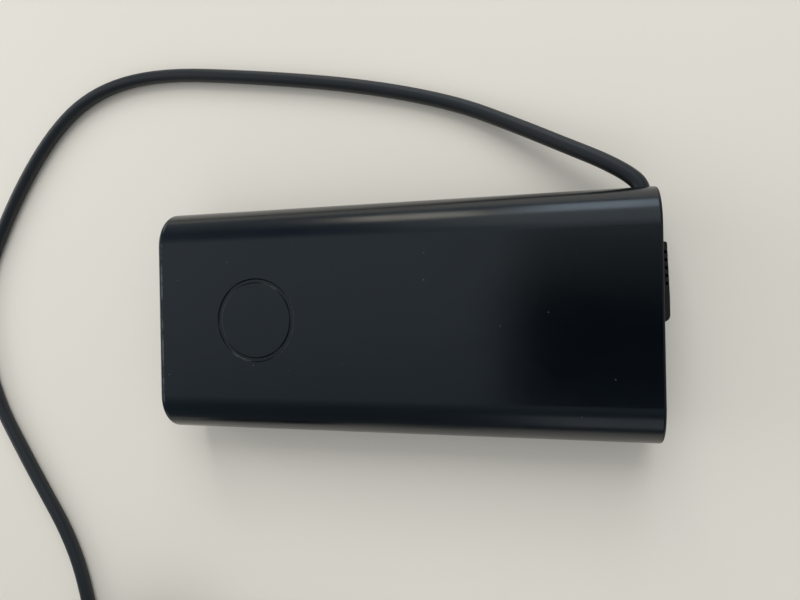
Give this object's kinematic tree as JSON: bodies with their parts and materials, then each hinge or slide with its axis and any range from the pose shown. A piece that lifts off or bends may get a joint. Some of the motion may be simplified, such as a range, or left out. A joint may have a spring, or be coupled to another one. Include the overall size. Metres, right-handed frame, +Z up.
{
  "type": "laptop power adapter",
  "caption": "Slim rounded power adapter block with a ring on top, an end strap, a mains socket and a long coiled output cord with a barrel plug.",
  "frame": {"origin": "middle of the housing's flat underside", "axes": "+X along the housing towards the strap's end, +Y towards the long side that the cord leaves, +Z up"},
  "size_m": [0.2382, 0.2492, 0.022],
  "materials": {
    "housing_plastic": "moulded polycarbonate blend, semi-gloss with a faint haze",
    "inlet_plastic": "moulded, satin",
    "plated_metal": "nickel plated, polished",
    "soft_rubber": "moulded elastomer, dull",
    "sheet_aluminium": "mill finish",
    "clear_film": "smooth film",
    "circuit_board": "solder mask",
    "silicone_pad": "soft, dull",
    "glazed_ceramic": "glazed",
    "moulded_case": "moulded, satin",
    "black_epoxy": "moulded epoxy",
    "ferrite": "sintered, dull",
    "copper_wire": "enamelled wire",
    "winding_tape": "polyester tape",
    "capacitor_sleeve": "shrink sleeve",
    "wire_insulation": "smooth",
    "cord_jacket": "extruded, satin",
    "woven_tape": "woven hook-and-loop tape",
    "plug_grip": "moulded, fine spark-eroded grain"
  },
  "bodies": {
    "root": {"top_cover": "housing_plastic", "bottom_cover": "housing_plastic", "mains_inlet": "inlet_plastic", "inlet_pins": "plated_metal", "cord_gland": "soft_rubber", "strap_anchor": "soft_rubber", "lower_heat_spreader": "sheet_aluminium", "upper_heat_spreader": "sheet_aluminium", "primary_heat_sink": "sheet_aluminium", "output_heat_sink": "sheet_aluminium", "insulating_sheet": "clear_film", "main_board": "circuit_board", "control_board": "circuit_board", "thermal_pads": "silicone_pad", "fuse": "glazed_ceramic", "safety_capacitors": "glazed_ceramic", "interference_capacitor": "moulded_case", "bridge_rectifier": "black_epoxy", "switching_transistor": "black_epoxy", "output_rectifier": "black_epoxy", "optocoupler": "black_epoxy", "choke_core": "ferrite", "transformer_core": "ferrite", "filter_inductor": "ferrite", "choke_winding": "copper_wire", "transformer_winding": "winding_tape", "transformer_bobbin": "moulded_case", "bulk_capacitor": "capacitor_sleeve", "output_capacitors": "capacitor_sleeve", "output_wires": "wire_insulation", "cord_run": "cord_jacket", "cord_coil": "cord_jacket", "cord_tail": "cord_jacket", "cord_tie": "woven_tape", "plug_body": "plug_grip", "plug_barrel": "plated_metal", "plug_insulator": "inlet_plastic", "plug_contact": "plated_metal"},
    "strap": {"cable_strap": "soft_rubber"}
  },
  "joints": [
    {"name": "strap_swing", "type": "hinge", "parent": "root", "child": "strap", "pos_m": [0.0717, 0, 0.011], "axis": [0, 0, -1], "range_deg": [0, 120]}
  ]
}
